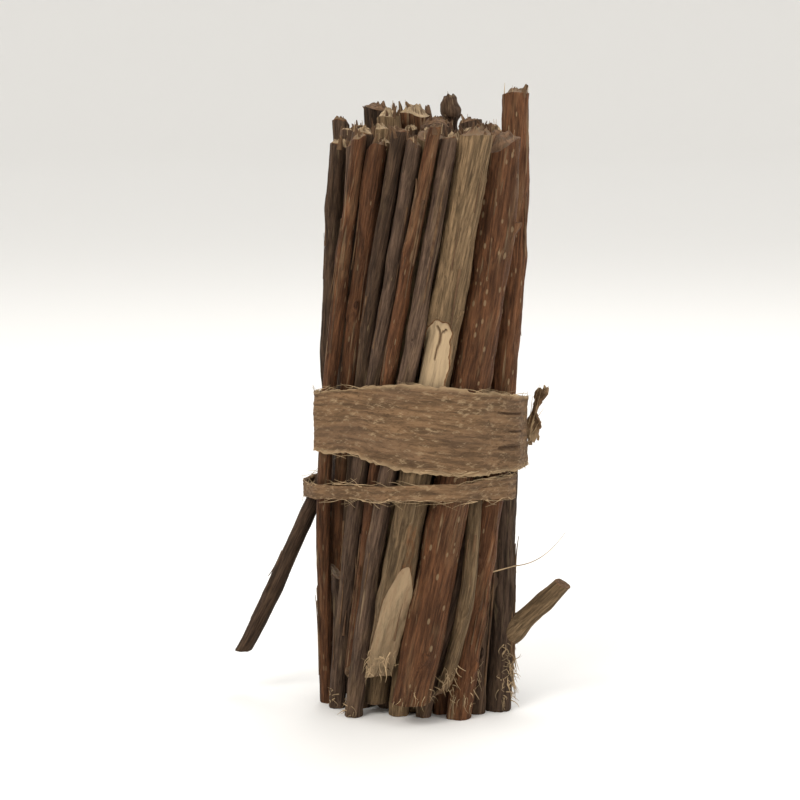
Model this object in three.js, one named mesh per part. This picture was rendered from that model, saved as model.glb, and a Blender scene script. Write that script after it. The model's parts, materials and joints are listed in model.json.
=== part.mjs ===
// A tied bundle of short cut twigs, standing on its cut ends.
// Millimetres, +Z up. The front is -Y, and angles round the bundle run from the front (0) to the right (+90).
// The origin lies on the surface that the bundle stands on, under the middle of its box.
import * as THREE from "three";

// Driving dimensions
const BAND_MIDDLE = 42; // height of the band's middle above the cut ends
const WAIST_RADIUS = 18; // where the rim twigs start, round the axis at the band
const USUAL_TOP = [87.5, 94]; // heights of the upper cut ends
const RISE_TO_BACK = 0.2; // height that the upper ends gain per millimetre towards the back
const SHORT_FOOT = [1.2, 6.5]; // heights of the lower ends that stop short of the floor
const STANDING_SHARE = 0.6; // share of the twigs that reach the floor
const TWIST_SLOPE = 0.2; // sideways run per millimetre of height, for a twig on the rim
const FLARE = 0.03; // outward run per millimetre away from the band, for a twig on the rim
const SPLAY_START = 10; // depth under the band's middle at which a stray twig turns outwards
const GREATEST_BOW = 1.5; // how far a crooked twig's end strays from straight
const GREATEST_TAPER = 0.16; // share of its radius that a twig loses or gains over its length
const CUT_SLOPE = 0.35; // steepest run of an upper cut face
const FILLING_FRONT = 0.55; // how far forward the filling starts, as a share of the waist radius
const CLEARANCE = 0.3; // gap kept between neighbours
const LEFT_OVERLAP = 0.05; // how much of the gap may stay unfilled when the pushing ends
const SPRINGINESS = 0.3; // how far each round straightens a twig
const GREATEST_PULL = 0.018; // share of its distance that a twig is drawn in by one round
const PRESSING_ROUNDS = 260;
const FREEING_PASSES = 1500;
const THINNEST = 2.2; // diameter of the thinnest twig
const FEWEST_SIDES = 6; // sides of the thinnest twig
const SIDES_PER_MM = 0.7; // sides more for each millimetre of diameter
const SHORTEST_ROW = 2; // least height of a twig's uppermost row of faces, clear of its slanting cut
const BAND_THICKNESS = 0.6;
const BAND_STEPS = 112; // steps along the band's strip
const WIDEST_TURN = 84; // degrees to either side in which the taut band is looked for
const TURN_STEP = 4;

// Heights at which every twig's centreline is placed
const STATION_STEP = 10;
const STATIONS = Array.from({ length: 11 }, (_, k) => k * STATION_STEP);

const BARK = {
  red: { color: 0x65472f, roughness: 0.75 },
  olive: { color: 0x6e5945, roughness: 0.8 },
  grey: { color: 0x55453a, roughness: 0.85 },
  dark: { color: 0x4a392c, roughness: 0.85 },
};
const BAST = { color: 0x7c6249, roughness: 0.9 };

// Twigs of the rim that can be told apart: where they pass under the band, and how far beyond the rest they
// lean sideways, stand proud above the band or splay out below it, each per millimetre of height
const RIM_TWIGS = [
  { name: "stray_twig", diameter: 3.0, angle: -84, top: 90, foot: 7, bark: "dark", splay: 0.42 },
  { name: "left_twig", diameter: 3.7, angle: -68, top: 92, foot: 0, bark: "grey" },
  { name: "left_front_twig", diameter: 3.3, angle: -54, top: 90, foot: 20, bark: "red" },
  { name: "slim_twig_1", diameter: 2.4, angle: -43, top: 92, foot: 4, bark: "dark", lean: 0.05 },
  { name: "slim_twig_2", diameter: 2.6, angle: -34, top: 90.5, foot: 0, bark: "grey", lean: 0.1 },
  { name: "slim_twig_3", diameter: 2.3, angle: -26, top: 92.5, foot: 5.5, bark: "red", lean: 0.12 },
  { name: "slim_twig_4", diameter: 2.8, angle: -17, top: 91, foot: 0, bark: "grey", lean: 0.15 },
  { name: "pale_twig", diameter: 5.2, angle: 0, top: 91.5, foot: 7, bark: "olive", lean: 0.26, proud: 0.08 },
  { name: "red_twig", diameter: 6.4, angle: 23, top: 91, foot: 3.5, bark: "red", lean: 0.15 },
  { name: "right_slim_twig", diameter: 2.5, angle: 41, top: 92.5, foot: 4, bark: "olive", lean: 0.05 },
  { name: "edge_twig", diameter: 4.2, angle: 55, top: 98, foot: 0, bark: "red" },
  { name: "shoot_twig", diameter: 4.2, angle: 96, top: 92, foot: 0, bark: "grey" },
  { name: "knob_twig", diameter: 3.0, angle: 128, top: 97, foot: 0, bark: "dark" },
];

// The other twigs fill the bundle: how many of each size
const FILLING = [
  { name: "thick_twig", count: 7, diameter: [4.4, 6.0] },
  { name: "middling_twig", count: 12, diameter: [3.3, 4.3] },
  { name: "thin_twig", count: 17, diameter: [THINNEST, 3.1] },
];

// The stub of a side shoot on the right: the twig that carries it, and how it leaves that twig
const SIDE_SHOOT = { twig: "shoot_twig", height: 13, facing: 82, rise: 45, diameter: 3.4, length: 10.5 };
const SHOOT_SIDES = 8;
const SHOOT_TAPER = 0.88; // the stub's width at its tip, as a share of its width at its base

// The bast strip's route: degrees round the bundle, height over the band's middle, width, and layers of strip
// beneath it. It is wide where it first passes the front and narrows into a second turn.
const BAND_ROUTE = [
  { angle: 100, height: 3.6, width: 7.0, layers: 0 },
  { angle: 140, height: 4.3, width: 7.5, layers: 0 },
  { angle: 180, height: 4.6, width: 8.0, layers: 0 },
  { angle: 225, height: 4.4, width: 8.0, layers: 0 },
  { angle: 270, height: 4.2, width: 8.2, layers: 0 },
  { angle: 315, height: 5.6, width: 10.4, layers: 0 },
  { angle: 360, height: 5.2, width: 13.8, layers: 0 },
  { angle: 400, height: 4.1, width: 12.8, layers: 0 },
  { angle: 430, height: 3.1, width: 11.4, layers: 0.6 },
  { angle: 450, height: 2.4, width: 10.8, layers: 1 },
  { angle: 480, height: 1.2, width: 9.4, layers: 1 },
  { angle: 520, height: -1.2, width: 7.6, layers: 1 },
  { angle: 560, height: -3.9, width: 5.4, layers: 0.5 },
  { angle: 600, height: -6.3, width: 3.2, layers: 0 },
  { angle: 630, height: -7.3, width: 2.2, layers: 0 },
  { angle: 675, height: -5.8, width: 2.2, layers: 0 },
  { angle: 720, height: -4.8, width: 2.4, layers: 0 },
  { angle: 760, height: -4.9, width: 3.3, layers: 0 },
  { angle: 790, height: -5.6, width: 3.8, layers: 0 },
];

// Random numbers from a fixed seed, so that every run grows the same bundle
function seededRandom(seed) {
  let state = seed;
  return () => {
    state = (state + 0x6d2b79f5) | 0;
    let mixed = Math.imul(state ^ (state >>> 15), 1 | state);
    mixed = (mixed + Math.imul(mixed ^ (mixed >>> 7), 61 | mixed)) ^ mixed;
    return ((mixed ^ (mixed >>> 14)) >>> 0) / 4294967296;
  };
}
const random = seededRandom(175);
const between = ([low, high]) => THREE.MathUtils.lerp(low, high, random());

// A point round the bundle's axis, by its angle from the front and its distance out
function roundAxis(degrees, radius) {
  const angle = THREE.MathUtils.degToRad(degrees);
  return new THREE.Vector2(radius * Math.sin(angle), -radius * Math.cos(angle));
}

// A twig before the bundle is pressed together: its centreline at each station
function layTwig({ name, diameter, place, top, foot, bark, lean = 0, proud = 0, splay = 0 }) {
  const sideways = new THREE.Vector2(-place.y, place.x).divideScalar(WAIST_RADIUS);
  const outward = place.clone().divideScalar(WAIST_RADIUS);
  const bow = roundAxis(between([0, 360]), between([0, GREATEST_BOW]));
  const places = STATIONS.map((height) => {
    const rise = height - BAND_MIDDLE;
    const bend = (rise / BAND_MIDDLE) ** 2;
    const above = Math.max(0, rise);
    const below = Math.max(0, -rise - SPLAY_START);
    return place
      .clone()
      .addScaledVector(sideways, rise * (TWIST_SLOPE + lean))
      .addScaledVector(outward, Math.abs(rise) * FLARE + above * proud + below * splay)
      .addScaledVector(bow, bend);
  });
  const taper = between([-GREATEST_TAPER, GREATEST_TAPER]);
  const cut = roundAxis(between([0, 360]), between([0, CUT_SLOPE]));
  return { name, diameter, places, top, foot, bark, splay, taper, cut };
}

function rimTwigs() {
  return RIM_TWIGS.map((twig) => {
    const place = roundAxis(twig.angle, WAIST_RADIUS - twig.diameter / 2);
    return layTwig({ ...twig, place });
  });
}

// The filling starts on a sunflower spiral, its sizes shuffled, and leaves the front to the rim twigs
function fillingTwigs() {
  const goldenAngle = 180 * (3 - Math.sqrt(5));
  const sizes = FILLING.flatMap(({ name, count, diameter }) =>
    Array.from({ length: count }, (_, k) => {
      return { name: `${name}_${k + 1}`, diameter: between(diameter), turn: random() };
    }),
  );
  sizes.sort((a, b) => a.turn - b.turn);
  return sizes.map(({ name, diameter }, k) => {
    const place = roundAxis(k * goldenAngle, WAIST_RADIUS * Math.sqrt((k + 0.5) / sizes.length));
    place.y = Math.max(place.y, -FILLING_FRONT * WAIST_RADIUS);
    const foot = random() < STANDING_SHARE ? 0 : between(SHORT_FOOT);
    const bark = Object.keys(BARK)[Math.floor(random() * Object.keys(BARK).length)];
    const top = between(USUAL_TOP) + place.y * RISE_TO_BACK;
    return layTwig({ name, diameter, place, top, foot, bark });
  });
}

function radiusAt(twig, height) {
  const share = height / STATIONS.at(-1) - 0.5;
  return (twig.diameter / 2) * (1 + twig.taper * share);
}

function centreAt(twig, height) {
  const k = Math.min(Math.floor(height / STATION_STEP), STATIONS.length - 2);
  return twig.places[k].clone().lerp(twig.places[k + 1], height / STATION_STEP - k);
}

// Pushes apart two twigs where they come closest between one station and the next, the thinner one further,
// and returns how far they overlapped
function partPair(a, b, k) {
  const lower = b.places[k].clone().sub(a.places[k]);
  const run = b.places[k + 1].clone().sub(a.places[k + 1]).sub(lower);
  const share = THREE.MathUtils.clamp(-lower.dot(run) / (run.lengthSq() + 1e-9), 0, 1);
  const apart = lower.addScaledVector(run, share);
  const height = STATIONS[k] + share * STATION_STEP;
  const overlap = radiusAt(a, height) + radiusAt(b, height) + CLEARANCE - apart.length();
  if (overlap <= 0) return 0;
  apart.normalize();
  const shareOfA = b.diameter / (a.diameter + b.diameter);
  const evenly = (1 - share) ** 2 + share ** 2;
  [1 - share, share].forEach((weight, end) => {
    a.places[k + end].addScaledVector(apart, (-overlap * shareOfA * weight) / evenly);
    b.places[k + end].addScaledVector(apart, (overlap * (1 - shareOfA) * weight) / evenly);
  });
  return overlap;
}

// Pushes apart all the twigs once, and returns the deepest overlap that was left
function pushApart(twigs) {
  let deepest = 0;
  for (let k = 0; k < STATIONS.length - 1; k++) {
    for (let i = 0; i < twigs.length; i++) {
      for (let j = i + 1; j < twigs.length; j++) {
        deepest = Math.max(deepest, partPair(twigs[i], twigs[j], k));
      }
    }
  }
  return deepest;
}

// Draws the twigs in, hardest at the band, and keeps each one springy along its length. A stray one is left
// alone where it leaves the bundle.
function drawTogether(twigs, pull) {
  for (const { places, splay } of twigs) {
    const first = splay > 0 ? STATIONS.findIndex((height) => height > BAND_MIDDLE - STATION_STEP) : 0;
    for (let k = first; k < places.length; k++) {
      const nearBand = 1 - Math.abs(STATIONS[k] - BAND_MIDDLE) / STATIONS.at(-1);
      places[k].multiplyScalar(1 - pull * nearBand);
    }
    for (let k = first + 1; k < places.length - 1; k++) {
      const straight = places[k - 1].clone().add(places[k + 1]).multiplyScalar(0.5);
      places[k].lerp(straight, SPRINGINESS);
    }
  }
}

// Presses the twigs together, ever more gently, and then frees the last overlaps
function pressTogether(twigs) {
  for (let round = 0; round < PRESSING_ROUNDS; round++) {
    drawTogether(twigs, GREATEST_PULL * (1 - round / PRESSING_ROUNDS));
    pushApart(twigs);
  }
  for (let pass = 0; pass < FREEING_PASSES; pass++) {
    if (pushApart(twigs) < LEFT_OVERLAP) break;
  }
}

// A twig is a cylinder whose rows are carried along the centreline. Its upper end is cut a little aslant.
function twigMesh(twig) {
  const inner = STATIONS.filter((height) => height > twig.foot && height < twig.top - SHORTEST_ROW);
  const heights = [twig.foot, ...inner, twig.top];
  const sides = Math.round(FEWEST_SIDES + SIDES_PER_MM * (twig.diameter - THINNEST));
  const geometry = new THREE.CylinderGeometry(1, 1, 1, sides, heights.length - 1);
  const points = geometry.attributes.position;
  for (let i = 0; i < points.count; i++) {
    const row = Math.round((points.getY(i) + 0.5) * (heights.length - 1));
    const centre = centreAt(twig, heights[row]);
    const radius = radiusAt(twig, heights[row]);
    const out = new THREE.Vector2(points.getX(i), -points.getZ(i)).multiplyScalar(radius);
    const slant = row === heights.length - 1 ? out.dot(twig.cut) : 0;
    points.setXYZ(i, centre.x + out.x, centre.y + out.y, heights[row] + slant);
  }
  geometry.computeVertexNormals();
  const mesh = new THREE.Mesh(geometry, new THREE.MeshStandardMaterial({ ...BARK[twig.bark], metalness: 0 }));
  mesh.name = twig.name;
  return mesh;
}

// The side shoot is a tapered cylinder that rises outwards. Its base is cut upright, to lie along its twig.
function shootMesh(twigs) {
  const { twig: carrier, height, facing, rise, diameter, length } = SIDE_SHOOT;
  const twig = twigs.find(({ name }) => name === carrier);
  const out = roundAxis(facing, 1);
  const sideways = new THREE.Vector2(out.y, -out.x);
  const slope = THREE.MathUtils.degToRad(rise);
  const base = centreAt(twig, height).addScaledVector(out, radiusAt(twig, height) + CLEARANCE);
  const geometry = new THREE.CylinderGeometry((SHOOT_TAPER * diameter) / 2, diameter / 2, 1, SHOOT_SIDES);
  const points = geometry.attributes.position;
  for (let i = 0; i < points.count; i++) {
    const across = points.getX(i);
    const along = points.getY(i) > 0 ? length : -across * Math.tan(slope);
    const place = base
      .clone()
      .addScaledVector(out, across * Math.sin(slope) + along * Math.cos(slope))
      .addScaledVector(sideways, points.getZ(i));
    points.setXYZ(i, place.x, place.y, height + along * Math.sin(slope) - across * Math.cos(slope));
  }
  geometry.computeVertexNormals();
  const mesh = new THREE.Mesh(geometry, new THREE.MeshStandardMaterial({ ...BARK.olive, metalness: 0 }));
  mesh.name = "side_shoot";
  return mesh;
}

// Distance from the axis to a taut band round all the twigs, at one angle and height
function tautRadius(twigs, degrees, height) {
  let nearest = Infinity;
  for (let turn = -WIDEST_TURN; turn <= WIDEST_TURN; turn += TURN_STEP) {
    const facing = roundAxis(degrees + turn, 1);
    const reaches = twigs.map((twig) => centreAt(twig, height).dot(facing) + radiusAt(twig, height));
    nearest = Math.min(nearest, Math.max(...reaches) / Math.cos(THREE.MathUtils.degToRad(turn)));
  }
  return nearest;
}

// The strip's angle, height, width and layers at a share of its route
function bandAt(share) {
  const across = new THREE.CatmullRomCurve3(
    BAND_ROUTE.map(({ angle, height, width }) => new THREE.Vector3(angle, height, width)),
  ).getPoint(share);
  const step = share * (BAND_ROUTE.length - 1);
  const k = Math.min(Math.floor(step), BAND_ROUTE.length - 2);
  const layers = THREE.MathUtils.lerp(BAND_ROUTE[k].layers, BAND_ROUTE[k + 1].layers, step - k);
  return { angle: across.x, height: across.y, width: across.z, layers };
}

// The band is a long thin box whose length is wound along the route, flat against the twigs
function bandMesh(twigs) {
  const geometry = new THREE.BoxGeometry(1, 1, 1, 2, 1, BAND_STEPS);
  const points = geometry.attributes.position;
  for (let i = 0; i < points.count; i++) {
    const { angle, height, width, layers } = bandAt(points.getZ(i) + 0.5);
    const up = BAND_MIDDLE + height + points.getX(i) * width;
    const lift = CLEARANCE + layers * (BAND_THICKNESS + CLEARANCE);
    const out = tautRadius(twigs, angle, up) + lift + (points.getY(i) + 0.5) * BAND_THICKNESS;
    const place = roundAxis(angle, out);
    points.setXYZ(i, place.x, place.y, up);
  }
  geometry.computeVertexNormals();
  const mesh = new THREE.Mesh(geometry, new THREE.MeshStandardMaterial({ ...BAST, metalness: 0 }));
  mesh.name = "bast_band";
  return mesh;
}

// The bundle, with the middle of its box over the origin
const twigs = [...rimTwigs(), ...fillingTwigs()];
pressTogether(twigs);
const bundle = new THREE.Group();
bundle.add(...twigs.map(twigMesh), shootMesh(twigs), bandMesh(twigs));
const middle = new THREE.Box3().setFromObject(bundle).getCenter(new THREE.Vector3());
for (const piece of bundle.children) piece.position.set(-middle.x, -middle.y, 0);

export default bundle;
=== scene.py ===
# A small bundle of cut twigs, tied with a torn strip of bast and standing on its cut ends.
import json
import math
import random

import bmesh
import bpy
import numpy as np
from bpy.props import FloatProperty, FloatVectorProperty, IntProperty, PointerProperty
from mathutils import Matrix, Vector


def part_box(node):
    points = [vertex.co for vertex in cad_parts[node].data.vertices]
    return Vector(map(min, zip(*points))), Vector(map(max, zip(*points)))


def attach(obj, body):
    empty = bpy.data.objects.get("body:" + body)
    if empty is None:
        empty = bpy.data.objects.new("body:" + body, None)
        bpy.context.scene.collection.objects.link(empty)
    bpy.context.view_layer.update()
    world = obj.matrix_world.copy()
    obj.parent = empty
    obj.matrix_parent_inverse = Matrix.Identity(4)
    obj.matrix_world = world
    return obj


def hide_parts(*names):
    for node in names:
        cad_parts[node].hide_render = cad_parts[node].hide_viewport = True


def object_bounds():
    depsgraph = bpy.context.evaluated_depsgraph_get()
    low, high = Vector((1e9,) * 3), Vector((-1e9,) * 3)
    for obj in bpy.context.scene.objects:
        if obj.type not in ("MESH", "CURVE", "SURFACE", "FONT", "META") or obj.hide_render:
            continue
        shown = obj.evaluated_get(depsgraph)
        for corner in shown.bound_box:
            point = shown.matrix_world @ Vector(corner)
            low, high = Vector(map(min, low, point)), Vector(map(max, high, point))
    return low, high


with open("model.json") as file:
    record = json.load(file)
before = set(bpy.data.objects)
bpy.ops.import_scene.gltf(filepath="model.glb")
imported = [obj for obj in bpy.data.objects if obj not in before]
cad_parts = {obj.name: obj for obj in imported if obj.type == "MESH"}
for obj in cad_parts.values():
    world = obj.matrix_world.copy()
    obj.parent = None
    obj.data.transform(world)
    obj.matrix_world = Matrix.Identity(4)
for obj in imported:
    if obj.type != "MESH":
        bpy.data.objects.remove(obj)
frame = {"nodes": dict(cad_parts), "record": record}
CAD_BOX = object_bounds()

bl_info = {
    "name": "Tied twig bundle",
    "version": (1, 0, 0),
    "blender": (4, 5, 0),
    "location": "View3D > Sidebar > Twigs",
    "description": "Models a bundle of cut twigs with a bast band round it",
    "category": "Object",
}

MM = 0.001
SLOT_OF = {part["node"]: part["material_slot"] for part in frame["record"]["subparts"]}
BAND = "bast_band"
SHOOT = "side_shoot"
TWIGS = sorted(node for node in frame["nodes"] if node not in (BAND, SHOOT))
RIM = [node for node in TWIGS if not node.startswith(("thick", "middling", "thin"))]
FILLING = [node for node in TWIGS if node not in RIM]
STATIONS = np.arange(0, 101, 10) * MM  # heights of the rings of the twigs' solids
SAME_PLACE = 0.01 * MM
CREASE = 0.9  # sharpness of the edge round a cut face
SMOOTH_ANGLE = math.radians(48)  # flatter edges than this are shaded smooth
SOFT = {"use_proportional_edit": True, "proportional_edit_falloff": "SMOOTH"}


# Sizes and colours

def tone(name, description, red, green, blue):
    """A colour setting, from the eye's 0 to 255 values."""
    light = [((v / 255 + 0.055) / 1.055) ** 2.4 for v in (red, green, blue)]
    return FloatVectorProperty(name=name, description=description, subtype="COLOR", size=3, default=light)


def length(name, description, millimetres):
    return FloatProperty(name=name, description=description, default=millimetres * MM, unit="LENGTH")


class TwigSettings(bpy.types.PropertyGroup):
    """Shape of the twigs' bark and cut ends."""

    bark: length("Bark", "Thickness of the bark that shows round a cut end", 0.3)
    lump: length("Lumps", "How far the stick's section strays from round", 0.75)
    ridge: length("Ridges", "Height of the ridges along the bark", 0.34)
    roughness: length("Cut roughness", "Unevenness of a cut face", 0.5)
    node_gap: length("Node gap", "Distance from one node to the next", 19)
    swelling: FloatProperty(name="Swelling", description="How much a node widens the stick", default=0.13)


class ColourSettings(bpy.types.PropertyGroup):
    """Colours of the barks, the cut wood and the bast."""

    red: tone("Red bark", "Reddish-brown bark", 97, 63, 40)
    olive: tone("Olive bark", "Olive-grey bark", 124, 101, 74)
    grey: tone("Grey bark", "Grey-brown bark", 90, 71, 57)
    dark: tone("Dark bark", "Dark brown bark", 76, 58, 44)
    # Its darkest shade also paints the cracks and checks, as painted shade in their gaps.
    inner: tone("Inner bark", "Torn bark round bare wood", 116, 76, 46)
    wood: tone("Wood", "Freshly cut wood", 166, 143, 112)
    pith: tone("Pith", "Soft middle of a cut end", 112, 84, 58)
    # Besides the weathered upper ends, this colour paints shade at the cut feet and in the bast's splits.
    weathered_and_shade: tone("Weathered wood", "Old broken wood at the upper ends", 100, 72, 52)
    bast: tone("Bast", "Strip of the band", 119, 92, 66)
    fibre: tone("Fibre", "Loose fibres and torn edges", 170, 145, 111)


class BandSettings(bpy.types.PropertyGroup):
    """Shape of the bast band."""

    middle: length("Middle", "Height of the band's middle", 42)
    thickness: length("Thickness", "Thickness of the strip", 0.6)
    gap: length("Gap", "Gap between the strip and the twigs or the turn beneath", 0.3)
    ragged: length("Ragged edge", "How far the torn edges wander", 1.3)
    fibres: IntProperty(name="Fibres", description="Loose fibres along the strip's edges", default=150)


class StageSettings(bpy.types.PropertyGroup):
    """Camera and light."""

    elevation: FloatProperty(
        name="Elevation", description="Camera's height angle", default=math.radians(8), subtype="ANGLE"
    )
    lens: FloatProperty(name="Lens", description="Focal length in millimetres", default=100)
    view_height: length("View height", "Height of the view at the bundle", 128)
    key: FloatProperty(name="Key light", description="Power of the main light", default=2.7, subtype="POWER")


# Selecting and measuring

SELECT_MODE = {"verts": "VERT", "edges": "EDGE", "faces": "FACE"}


def deselect():
    if bpy.context.object and bpy.context.object.mode == "EDIT":
        bpy.ops.object.mode_set(mode="OBJECT")
    bpy.ops.object.select_all(action="DESELECT")


def choose(piece, kind, test):
    """Selects, in edit mode, only the verts, edges or faces that pass a test."""
    bpy.ops.mesh.select_mode(type=SELECT_MODE[kind])
    bpy.ops.mesh.select_all(action="DESELECT")
    shape = bmesh.from_edit_mesh(piece.data)
    for part in getattr(shape, kind):
        if test(part):
            part.select_set(True)
    bmesh.update_edit_mesh(piece.data)


def choose_nearest_face(piece, place):
    shape = bmesh.from_edit_mesh(piece.data)
    nearest = min(shape.faces, key=lambda f: (f.calc_center_median() - place).length).index
    choose(piece, "faces", lambda f: f.index == nearest)


def apply_modifiers(piece, helpers=()):
    """Applies a piece's modifiers in their order and removes the objects that they read."""
    deselect()
    piece.select_set(True)
    bpy.context.view_layer.objects.active = piece
    for modifier in list(piece.modifiers):
        bpy.ops.object.modifier_apply(modifier=modifier.name)
    for helper in helpers:
        bpy.data.objects.remove(helper)


def face_outwards():
    """Turns the active piece's faces outwards and leaves edit mode."""
    bpy.ops.object.mode_set(mode="EDIT")
    bpy.ops.mesh.select_all(action="SELECT")
    bpy.ops.mesh.normals_make_consistent(inside=False)
    bpy.ops.object.mode_set(mode="OBJECT")


def places_of(piece):
    places = np.empty(len(piece.data.vertices) * 3)
    piece.data.vertices.foreach_get("co", places)
    return places.reshape(-1, 3)


def write_values(piece, name, values):
    """Stores one number, or one vector, at every vertex."""
    values = np.asarray(values, dtype=np.float32)
    kind, field = ("FLOAT_VECTOR", "vector") if values.ndim == 2 else ("FLOAT", "value")
    attribute = piece.data.attributes.new(name, kind, "POINT")
    attribute.data.foreach_set(field, values.ravel())


def weights_of(piece, group):
    index = piece.vertex_groups[group].index
    weights = [next((g.weight for g in v.groups if g.group == index), 0.0) for v in piece.data.vertices]
    return np.array(weights)


def set_weights(piece, name, weights):
    """Gives a vertex group its weight at every vertex."""
    group = piece.vertex_groups.get(name) or piece.vertex_groups.new(name=name)
    for i in np.flatnonzero(weights > 0.001):
        group.add([int(i)], float(weights[i]), "REPLACE")


def smooth_step(low, high, values):
    share = np.clip((values - low) / (high - low), 0, 1)
    return share * share * (3 - 2 * share)


class Solid:
    """Where a twig's solid lies: its ends, its centreline and its radius."""

    def __init__(self, node):
        places = np.unique(np.round(places_of(bpy.data.objects[node]), 6), axis=0)
        heights = places[:, 2]
        self.node = node
        self.foot = heights.min()
        inner = [z for z in STATIONS if self.foot < z < heights.max() - 2 * MM]
        inner = [z for z in inner if np.any(np.abs(heights - z) < SAME_PLACE)]
        upper = places[heights > inner[-1] + SAME_PLACE]
        rings = [places[np.abs(heights - z) < SAME_PLACE] for z in (self.foot, *inner)] + [upper]
        self.top = upper[:, 2].mean()
        level = np.c_[upper[:, :2], np.ones(len(upper))]
        self.slope = np.linalg.lstsq(level, upper[:, 2], rcond=None)[0][:2]
        self.heights = np.array([ring[:, 2].mean() for ring in rings])
        self.centres = np.array([ring[:, :2].mean(axis=0) for ring in rings])
        reach = [np.linalg.norm(r[:, :2] - c, axis=1).max() for r, c in zip(rings, self.centres)]
        self.girth = np.polyfit(self.heights[:-1], reach[:-1], 1)

    def radius(self, height):
        return np.polyval(self.girth, height)

    def centre(self, height):
        """The centreline at a height, carried on straight past the ends."""
        k = int(np.clip(np.searchsorted(self.heights, height) - 1, 0, len(self.heights) - 2))
        share = (height - self.heights[k]) / (self.heights[k + 1] - self.heights[k])
        return self.centres[k] + share * (self.centres[k + 1] - self.centres[k])

    def point(self, height):
        return Vector((*self.centre(height), height))


SOLIDS = {node: Solid(node) for node in TWIGS}
BAND_LOW, BAND_HIGH = (Vector(corner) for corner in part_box(BAND))
AXIS = np.array(((BAND_LOW + BAND_HIGH) / 2)[:2])  # where the bundle's axis passes through the band


def round_axis(degrees):
    """The direction out from the bundle's axis: 0 is the front and 90 the right."""
    angle = math.radians(degrees)
    return np.array((math.sin(angle), -math.cos(angle)))


def taut_radius(degrees, height):
    """Distance from the axis to a taut band round all the twigs."""
    turns = np.arange(-84, 85, 4)
    facing = np.array([round_axis(degrees + turn) for turn in turns])
    centres = np.array([solid.centre(height) for solid in SOLIDS.values()]) - AXIS
    radii = np.array([solid.radius(height) for solid in SOLIDS.values()])
    reach = (facing @ centres.T + radii).max(axis=1)
    return (reach / np.cos(np.radians(turns))).min()


# Node groups and materials

class Nodes:
    """Adds shader nodes to a tree. Inputs take a value or the socket that feeds them."""

    def __init__(self, tree):
        self.tree = tree

    def link(self, socket, goal):
        self.tree.links.new(socket, goal)

    def add(self, kind, links=(), **settings):
        """A node. links gives its inputs by name or number."""
        node = self.tree.nodes.new(kind)
        for name, value in settings.items():
            setattr(node, name, value)
        for key, value in dict(links).items():
            if isinstance(value, bpy.types.NodeSocket):
                self.link(value, node.inputs[key])
            else:
                node.inputs[key].default_value = value
        return node

    def group(self, name, links):
        return self.add("ShaderNodeGroup", links, node_tree=bpy.data.node_groups[name])

    def attribute(self, name, output="Fac"):
        return self.add("ShaderNodeAttribute", attribute_name=name).outputs[output]

    def math(self, operation, first, second=0.0):
        return self.add("ShaderNodeMath", {0: first, 1: second}, operation=operation).outputs[0]

    def plus(self, first, second):
        return self.math("ADD", first, second)

    def minus(self, first, second):
        return self.math("SUBTRACT", first, second)

    def times(self, first, second):
        return self.math("MULTIPLY", first, second)

    def ramp(self, value, low, high, to_low=0.0, to_high=1.0):
        """Maps low..high smoothly to to_low..to_high."""
        links = {"Value": value, "From Min": low, "From Max": high, "To Min": to_low, "To Max": to_high}
        return self.add("ShaderNodeMapRange", links, interpolation_type="SMOOTHSTEP").outputs[0]

    def blend(self, factor, first, second, mode="MIX"):
        """Mixes two colours."""
        links = {0: factor, 6: first, 7: second}
        return self.add("ShaderNodeMix", links, data_type="RGBA", blend_type=mode).outputs[2]

    def vector(self, operation, first, second=(0.0, 0.0, 0.0)):
        return self.add("ShaderNodeVectorMath", {0: first, 1: second}, operation=operation).outputs[0]

    def turned(self, vector, angles):
        return self.add("ShaderNodeMapping", {"Vector": vector, "Rotation": angles}).outputs[0]

    def noise(self, vector, scale, detail=4.0, rough=0.6, distortion=0.0):
        links = {"Vector": vector, "Scale": scale, "Detail": detail, "Roughness": rough}
        return self.add("ShaderNodeTexNoise", {**links, "Distortion": distortion}).outputs[0]

    def streaks(self, vector, stretch, *looks):
        """Noise with its own scale along each axis."""
        return self.noise(self.vector("MULTIPLY", vector, stretch), 1.0, *looks)

    def bump(self, surface, height, strength, distance):
        links = {"Height": height, "Strength": strength, "Distance": distance}
        self.link(self.add("ShaderNodeBump", links).outputs[0], surface.inputs["Normal"])


def new_group(name, inputs, outputs):
    """An empty shader node group, with its input and output nodes."""
    tree = bpy.data.node_groups.new(name, "ShaderNodeTree")
    for socket, (kind, value) in inputs.items():
        made = tree.interface.new_socket(socket, in_out="INPUT", socket_type=f"NodeSocket{kind}")
        if value is not None:
            made.default_value = value
    for socket in outputs:
        tree.interface.new_socket(socket, in_out="OUTPUT", socket_type="NodeSocketFloat")
    return Nodes(tree), tree.nodes.new("NodeGroupInput"), tree.nodes.new("NodeGroupOutput")


def bark_grain_group():
    """Streaks, patches, wrinkles and peeled slivers. Grain is the straight stick, in millimetres."""
    outputs = ("Streak", "Patch", "Wrinkle", "Peel")
    nodes, given, put = new_group("Bark grain", {"Grain": ("Vector", None)}, outputs)
    grain = nodes.turned(given.outputs["Grain"], (0.05, -0.04, 0.6))
    streak = nodes.streaks(grain, (1.5, 1.5, 0.1), 6.0, 0.75)
    patch = nodes.streaks(grain, (0.35, 0.35, 0.09), 2.0, 0.6, 0.6)
    wrinkle = nodes.streaks(grain, (3.6, 3.6, 0.22), 3.0, 0.7, 0.3)
    sliver = nodes.streaks(grain, (0.8, 0.8, 0.055), 2.0, 0.75)
    peel = nodes.ramp(sliver, 0.62, 0.7)
    for name, socket in zip(outputs, (streak, patch, wrinkle, peel)):
        nodes.link(socket, put.inputs[name])


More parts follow.
